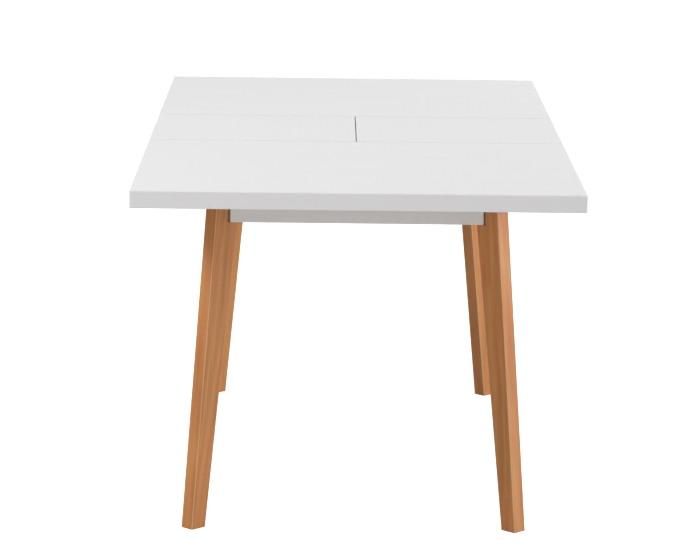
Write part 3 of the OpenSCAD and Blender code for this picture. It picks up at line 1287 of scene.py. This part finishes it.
@dataclass
class Slides:
    """The channels on the side rails, the bars that run in them, and the fittings they need.

    Attributes:
        wall: thickness of the channels' steel.
        lip: depth of the lips that hold the bars in.
        bend: radius of the channels' bends outside.
        head_play: clearance behind a channel's lips.
        web_play: clearance between a bar's web and each lip.
        counterbore: diameter of the battens' counterbores.
        screws_each: screws in one batten.
        screw_head: height of the heads of the screws that point up.
        screw_shank: diameter of those screws.
        screw_tip: length of a screw's point.
        flush_head: height of the channel screws' heads.
    """

    wall: float = 1.5 * MM
    lip: float = 4 * MM
    bend: float = 1.2 * MM
    head_play: float = 0.5 * MM
    web_play: float = 1 * MM
    counterbore: float = 9 * MM
    screws_each: int = 3
    screw_head: float = 2.2 * MM
    screw_shank: float = 4 * MM
    screw_tip: float = 2 * MM
    flush_head: float = 0.5 * MM

    def along_y(self, outline: Outline, low: Array, high: Array, arris: float, corner: Radii,
                side: Side) -> Mesh:
        """A bar that runs along the table.

        Args:
            outline: its section in x and z, anticlockwise as drawn, for the right-hand side.
            low: the lowest corner of its CAD box.
            high: the highest corner of its CAD box.
            arris: radius of the edges round its ends.
            corner: radius of the section's corners, one for all or one each.
            side: left or right.

        Returns:
            The points and the faces.
        """
        bar = slab(outline, -high[1], -low[1], arris, corner, steps=3)
        return placed(bar, CENTRE, [[side.value, 0.0, 0.0], [0.0, 0.0, 1.0], [0.0, -1.0, 0.0]])

    def channel(self, side: Side) -> Mesh:
        """A channel with lips: its open face is towards the middle of the table.

        Args:
            side: left or right.

        Returns:
            The points and the faces.
        """
        low, high = cad_box_of(f"channel_{side.label}")
        x0, x1 = span(low, high)
        z0, z1, w, lip = low[2], high[2], self.wall, self.wall + self.lip
        outline = [[x0, z0], [x1, z0], [x1, z1], [x0, z1], [x0, z1 - lip], [x0 + w, z1 - lip],
                   [x0 + w, z1 - w], [x1 - w, z1 - w], [x1 - w, z0 + w], [x0 + w, z0 + w],
                   [x0 + w, z0 + lip], [x0, z0 + lip]]
        inside_bend = 0.25 * MM
        corner = [self.bend] * 4 + [inside_bend] * 8
        return self.along_y(outline, low, high, arris=0.15 * MM, corner=corner, side=side)

    def bar(self, side: Side, end: End) -> Mesh:
        """A slide bar: the head that runs in the channel, and the web that carries the batten.

        Args:
            side: left or right.
            end: front or rear.

        Returns:
            The points and the faces.
        """
        low, high = cad_box_of(f"slide_bar_{end.label}_{side.label}")
        x0, x1 = span(low, high)
        channel_low, channel_high = cad_box_of(f"channel_{side.label}")
        neck = span(channel_low, channel_high)[0] + self.wall + self.head_play
        web = (channel_high[2] - channel_low[2]) / 2.0 - self.wall - self.lip - self.web_play
        middle = (low[2] + high[2]) / 2.0
        outline = [[x0, middle - web], [neck, middle - web], [neck, low[2]], [x1, low[2]], [x1, high[2]],
                   [neck, high[2]], [neck, middle + web], [x0, middle + web]]
        return self.along_y(outline, low, high, arris=0.4 * MM, corner=0.6 * MM, side=side)

    def batten(self, side: Side, end: End) -> Mesh:
        """A batten, with deep counterbores for the screws that hold it up to its panel.

        Args:
            side: left or right.
            end: front or rear.

        Returns:
            The points and the faces.
        """
        low, high = cad_box_of(f"batten_{end.label}_{side.label}")
        wood = slab(rectangle(low, high), low[2], high[2], arris=0.8 * MM, corner=1.2 * MM, steps=2)
        radius, deep = self.counterbore / 2.0, (high[2] - low[2]) / 2.0
        hole = turned([[radius, low[2] - CLEAR], [radius, low[2] + deep]], segments=28)
        step = (high[1] - low[1]) / self.screws_each
        middle = (low[0] + high[0]) / 2.0
        spots = [(middle, low[1] + (i + 0.5) * step, 0.0) for i in range(self.screws_each)]
        return bored(wood, joined([placed(hole, spot, LEVEL) for spot in spots]))

    def upright_screws(self, node: str) -> Mesh:
        """Screws that point up, with their crossed heads under them, on a node's solids.

        Args:
            node: the CAD node.

        Returns:
            The points and the faces.
        """
        parts, head, shank = [], self.screw_head, self.screw_shank
        for low, high in solids_of(node):
            centre = (low + high) / 2.0
            down = [[1.0, 0.0, 0.0], [0.0, -1.0, 0.0], [0.0, 0.0, -1.0]]
            seat = (centre[0], centre[1], low[2] + head)
            parts.append(placed(cross_head((high[0] - low[0]) / 2.0, head), seat, down))
            body = [[shank * 0.5, low[2] + head * 0.9], [shank * 0.5, high[2] - self.screw_tip],
                    [shank * 0.1, high[2]]]
            parts.append(placed(turned(body, segments=16), (centre[0], centre[1], 0.0), LEVEL))
        return joined(parts)

    def channel_screws(self) -> Mesh:
        """The channels' screws, whose heads lie flush in the back of the channel.

        Returns:
            The points and the faces.
        """
        parts = []
        for low, high in solids_of("channel_screws"):
            centre = (low + high) / 2.0
            sign = float(np.sign(centre[0]))
            radius = (high[2] - low[2]) / 2.0
            near, far = span(low, high)
            inward = [[0.0, 0.0, 1.0], [0.0, sign, 0.0], [-sign, 0.0, 0.0]]
            head = cross_head(radius * 0.98, self.flush_head, segments=24)
            body = [[radius * 0.2, -(far - near)], [radius * 0.9, -(far - near) + self.screw_tip],
                    [radius * 0.9, -0.8 * self.flush_head]]
            parts.append(placed(head, (sign * (near + self.flush_head), centre[1], centre[2]), inward))
            parts.append(placed(turned(body, segments=16), (sign * near, centre[1], centre[2]), inward))
        return joined(parts)

    def build(self, shared: Groups) -> None:
        """Makes the channels, bars, battens and screws.

        Args:
            shared: the shared node groups.
        """
        strip, bolt = STRIP_ZINC.material(shared), BOLT_ZINC.material(shared)
        for side in Side:
            name = f"channel_{side.label}"
            piece(name, self.channel(side), strip, "frame", [name])
        name = "channel_screws"
        piece(name, self.channel_screws(), bolt, "frame", [name])
        for end in End:
            body = f"{end.label}_top"
            for side in Side:
                where = f"{end.label}_{side.label}"
                name = f"slide_bar_{where}"
                piece(name, self.bar(side, end), strip, body, [name])
                name = f"batten_{where}"
                low, high = cad_box_of(name)
                turn = Matrix.Rotation(QUARTER, 4, "X") @ Matrix.Translation(-Vector((low + high) / 2.0))
                wood = PINE.material(shared, turn, pith=55 * MM, lean=0.02, label="_" + name)
                piece(name, self.batten(side, end), wood, body, [name])
            name = f"batten_screws_{end.label}"
            piece(name, self.upright_screws(name), bolt, body, [name])


@dataclass
class LeafSupports:
    """The steel under the leaf: plates that reach under it from both panels, and the stowing bearers.

    Attributes:
        corner: radius of the plates' and bearers' corners.
        edge: radius of their edges.
    """

    corner: float = 5 * MM
    edge: float = 0.4 * MM

    def flat(self, low: Array, high: Array, corner: float) -> Mesh:
        """A flat bar on a box."""
        return slab(rectangle(low, high), low[2], high[2], self.edge, corner, steps=6)

    def build(self, shared: Groups, slides: Slides) -> None:
        """Makes the plates, their screws and the bearers.

        Args:
            shared: the shared node groups.
            slides: whose screws these are like.
        """
        strip, bolt = STRIP_ZINC.material(shared), BOLT_ZINC.material(shared)
        for end in End:
            body = f"{end.label}_top"
            name = f"support_plates_{end.label}"
            plates = [self.flat(low, high, self.corner) for low, high in solids_of(name)]
            piece(name, joined(plates), strip, body, [name])
            name = f"plate_screws_{end.label}"
            piece(name, slides.upright_screws(name), bolt, body, [name])
            name = f"leaf_bearer_{end.label}"
            bearer = self.flat(*cad_box_of(name), self.edge * 1.5)
            piece(name, bearer, strip, "frame", [name])


@dataclass
class Boards:
    """The white boards of the top: two sliding panels and the two halves of the leaf.

    Attributes:
        arris: radius of the edges round the outside of the table.
        seam_arris: how far the faces at a seam fall back at their rims.
        corner: radius of the upright edges at the table's corners.
        slot: width of the slot in a barrel.
        barrel_edge: size of a barrel's chamfers.
        barrel_play: clearance between a barrel and its bore.
    """

    arris: float = 1.8 * MM
    seam_arris: float = 0.2 * MM
    corner: float = 3.0 * MM
    slot: float = 3 * MM
    barrel_edge: float = 0.6 * MM
    barrel_play: float = 0.05 * MM

    @staticmethod
    def seams(way: Way) -> Seams:
        """The faces of a board that meet another board: each one's axis, and its sign along that axis."""
        inward = -float(way.value)
        return [(1, inward)] if isinstance(way, End) else [(1, 1.0), (1, -1.0), (0, inward)]

    @staticmethod
    def into_leaf(low: Array, high: Array, side: Side) -> tuple[Triple, Outline]:
        """The mouth of a hinge barrel's bore, and axes whose z points into that half of the leaf.

        Args:
            low: lowest corner of the barrel's CAD box.
            high: highest corner of that box.
            side: left or right.

        Returns:
            The point and the three axes.
        """
        _, y, z = (low + high) / 2.0
        along = [[0.0, 0.0, 1.0], [0.0, 1.0, 0.0], [float(side.value), 0.0, 0.0]]
        return (side.value * span(low, high)[0], y, z), along

    def board(self, node: str, seams: Seams) -> Mesh:
        """A board with softly rounded edges, pressed almost square along its seams.

        Near a seam, the distance from the seam's face is multiplied by the seam's small arris over the
        larger one, so the quarter circle there becomes a narrow quarter ellipse.

        Args:
            node: the CAD node.
            seams: its seams.

        Returns:
            The points and the faces.
        """
        low, high = cad_box_of(node)
        points, faces = slab(rectangle(low, high), low[2], high[2], self.arris, self.corner, steps=5)
        for axis, sign in seams:
            face = high[axis] if sign > 0 else low[axis]
            back = np.abs(face - points[:, axis])
            near = back < self.corner * ROUND_OVER
            points[near, axis] = face - sign * back[near] * self.seam_arris / self.arris
        return points, faces

    def half_leaf(self, side: Side) -> Mesh:
        """Half of the leaf, bored along its inner edge for the barrel hinges.

        Args:
            side: left or right.

        Returns:
            The points and the faces.
        """
        bores = []
        for low, high in solids_of(f"hinge_barrels_{side.label}"):
            radius, deep = (high[2] - low[2]) / 2.0, high[0] - low[0]
            hole = turned([[radius, -2 * CLEAR], [radius, deep]], segments=36)
            bores.append(placed(hole, *self.into_leaf(low, high, side)))
        return bored(self.board(f"leaf_{side.label}", self.seams(side)), joined(bores))

    def band(self, made: bpy.types.Object, grey: bpy.types.Material, seams: Seams) -> None:
        """Gives the flat faces along a board's seams a grey finish: painted shade that darkens the slits
        between boards.

        Args:
            made: the board's piece.
            grey: the finish of the painted seam shade.
            seams: its seams.
        """
        made.data.materials.append(grey)
        count = len(made.data.polygons)
        normals = np.zeros(count * 3)
        made.data.polygons.foreach_get("normal", normals)
        normals = normals.reshape(-1, 3)
        # faces square to a seam take the grey painted shade
        seam_shaded = np.zeros(count, dtype=bool)
        for axis, sign in seams:
            seam_shaded |= normals[:, axis] * sign > FLAT
        made.data.polygons.foreach_set("material_index", seam_shaded.astype(np.int32))

    def barrels(self, side: Side) -> Mesh:
        """The sunk barrels: turned steel with a slot across the mouth for the link.

        Args:
            side: left or right.

        Returns:
            The points and the faces.
        """
        parts = []
        for low, high in solids_of(f"hinge_barrels_{side.label}"):
            radius, deep, edge = (high[2] - low[2]) / 2.0, high[0] - low[0], self.barrel_edge
            wall, wide, half = radius - self.barrel_play, radius * 2.0, self.slot / 2.0
            profile = [[radius - edge, 0.0], [wall, edge], [wall, deep - edge], [radius - edge, deep]]
            slot = [[-wide, -half], [wide, -half], [wide, half], [-wide, half]]
            cutter = slab(slot, -CLEAR, deep * 0.6, arris=0.05 * MM, corner=0.1 * MM, steps=1)
            where = self.into_leaf(low, high, side)
            parts.append(bored(placed(turned(profile, segments=36), *where), placed(cutter, *where)))
        return joined(parts)

    def build(self, shared: Groups) -> None:
        """Makes the panels, the leaf's halves and its hinges.

        Args:
            shared: the shared node groups.
        """
        white, bolt = TOP_WHITE.material(shared), BOLT_ZINC.material(shared)
        # grey: painted shade on the faces along the seams
        grey = SEAM_SHADE_GREY.material(shared)
        for end in End:
            name, seams = f"top_panel_{end.label}", self.seams(end)
            made = piece(name, self.board(name, seams), white, f"{end.label}_top", [name])
            self.band(made, grey, seams)
        for side in Side:
            body, name = f"leaf_{side.label}_half", f"leaf_{side.label}"
            made = piece(name, self.half_leaf(side), white, body, [name])
            self.band(made, grey, self.seams(side))
            name = f"hinge_barrels_{side.label}"
            piece(name, self.barrels(side), bolt, body, [name])


# ------------------------------------------------------------------------------------------------ studio


@dataclass
class SoftLight:
    """A square studio light.

    Attributes:
        name: its name.
        place: where it is.
        size: width and height.
        power: in watts.
        target: what it points at.
    """

    name: str
    place: Triple
    size: float
    power: float
    target: Triple = (0.0, 0.0, 0.6)

    def build(self) -> None:
        """Makes the light."""
        data = bpy.data.lights.new(self.name, "AREA")
        data.shape, data.size, data.size_y, data.energy = "RECTANGLE", self.size, self.size, self.power
        made = bpy.data.objects.new(self.name, data)
        bpy.context.scene.collection.objects.link(made)
        made.location = self.place
        made.rotation_euler = (Vector(self.target) - Vector(self.place)).to_track_quat("-Z", "Y").to_euler()


LIGHTS = (
    SoftLight("key_left", (-3.34, -1.63, 3.85), 1.2, 130.0),
    SoftLight("side_right", (3.35, -0.45, 0.87), 2.0, 70.0),
    SoftLight("high_right", (4.26, -1.55, 2.61), 1.6, 36.0),
    SoftLight("front_left", (-2.31, -4.96, 1.08), 2.0, 44.0),
    SoftLight("front_right", (2.31, -4.96, 1.08), 2.0, 20.0),
    SoftLight("front", (0.0, -4.98, 2.82), 2.0, 24.0),
    SoftLight("back_right", (2.98, 3.55, 2.37), 2.0, 120.0),
)


@dataclass
class Studio:
    """The floor, the lights and the camera.

    Attributes:
        lens: focal length in millimetres.
        place: where the camera is.
        yaw: how far the view is turned to the left, in degrees.
        pitch: how far it looks down, in degrees.
        roll: how far it is turned about its own line of sight, in degrees.
        sensor: width of the sensor in millimetres.
        floor_half: half the width of the floor.
        floor_shade: the floor's colour for the light that it throws back.
        floor_glow: how bright the floor looks in reflections.
        sky_glow: how bright the surroundings look in reflections.
        sky_light: how strongly the surroundings light the table.
    """

    lens: float = 163.2
    place: Triple = (-0.0604, -7.035, 1.747)
    yaw: float = 0.423
    pitch: float = 10.797
    roll: float = 0.725
    sensor: float = 36.0
    floor_half: float = 40.0
    floor_shade: Shade = (0.52, 0.49, 0.465, 1.0)
    floor_glow: float = 0.6
    sky_glow: float = 0.9
    sky_light: float = 0.085

    def camera(self) -> None:
        """Makes the camera."""
        yaw, pitch, roll = (math.radians(v) for v in (-self.yaw, self.pitch, self.roll))
        level = math.cos(pitch)
        ahead = Vector((-math.sin(yaw) * level, math.cos(yaw) * level, -math.sin(pitch)))
        right = Vector((math.cos(yaw), math.sin(yaw), 0.0))
        up = right.cross(ahead)
        across = math.cos(roll) * right + math.sin(roll) * up
        upward = -math.sin(roll) * right + math.cos(roll) * up
        data = bpy.data.cameras.new("camera")
        data.lens, data.sensor_width = self.lens, self.sensor
        data.clip_start, data.clip_end = 0.05, 100.0
        made = bpy.data.objects.new("camera", data)
        bpy.context.scene.collection.objects.link(made)
        turn = Matrix((across, upward, -ahead)).transposed().to_4x4()
        made.matrix_world = Matrix.Translation(self.place) @ turn
        bpy.context.scene.camera = made

    def floor(self) -> None:
        """Makes the pale floor, which looks and reflects evenly white and throws a soft warm light up.

        From underneath it is clear, so that the table can be seen from below.
        """
        far = self.floor_half
        data = bpy.data.meshes.new("floor")
        corners = [(-far, -far, 0.0), (far, -far, 0.0), (far, far, 0.0), (-far, far, 0.0)]
        data.from_pydata(corners, [], [(0, 1, 2, 3)])
        made = bpy.data.objects.new("floor", data)
        bpy.context.scene.collection.objects.link(made)
        material, n, shader = new_material("studio_floor")
        path = n.add("ShaderNodeLightPath").outputs
        glow = n.maths("MULTIPLY_ADD", path["Is Glossy Ray"], self.floor_glow, path["Is Camera Ray"])
        n.feed(shader, {"Base Color": self.floor_shade, "Roughness": 0.9, "Specular IOR Level": 0.0,
                        "Emission Color": WHITE, "Emission Strength": glow})
        under = n.add("ShaderNodeNewGeometry").outputs["Backfacing"]
        clear = n.add("ShaderNodeBsdfTransparent")
        both = n.add("ShaderNodeMixShader", {0: under, 1: shader.outputs[0], 2: clear.outputs[0]})
        n.feed(n.tree.nodes["Material Output"], {"Surface": both.outputs[0]})
        data.materials.append(material)

    def build(self) -> None:
        """Makes the camera, the floor, the lights and the surroundings."""
        self.camera()
        self.floor()
        world = bpy.data.worlds.new("surroundings")
        bpy.context.scene.world = world
        world.use_nodes = True
        n = Nodes(world.node_tree)
        path = n.add("ShaderNodeLightPath").outputs
        glow = n.maths("MULTIPLY_ADD", path["Is Glossy Ray"], self.sky_glow, path["Is Camera Ray"])
        glow = n.maths("ADD", glow, self.sky_light)
        sky = n.add("ShaderNodeBackground", {"Color": WHITE, "Strength": glow})
        n.add("ShaderNodeOutputWorld", {"Surface": sky.outputs[0]})
        for light in LIGHTS:
            light.build()
        bpy.context.scene.view_settings.view_transform = "Standard"


def main() -> None:
    """Builds the table and its studio."""
    logging.basicConfig(level=logging.INFO, format="%(name)s: %(message)s")
    shared = Groups.build()
    grain = {"front_left": (52 * MM, 0.060), "front_right": (44 * MM, -0.034),
             "rear_left": (63 * MM, 0.028), "rear_right": (38 * MM, 0.036)}
    for end in End:
        for side in Side:
            corner = Corner(side, end)
            Leg(corner, *grain[corner.name]).build(shared)
            CornerJoint(corner).build(shared)
    LegFasteners().build(shared)
    FrameBoards().build(shared)
    GlidePads().build()
    slides = Slides()
    slides.build(shared)
    LeafSupports().build(shared, slides)
    Boards().build(shared)
    Studio().build()


if __name__ == "__main__":
    main()
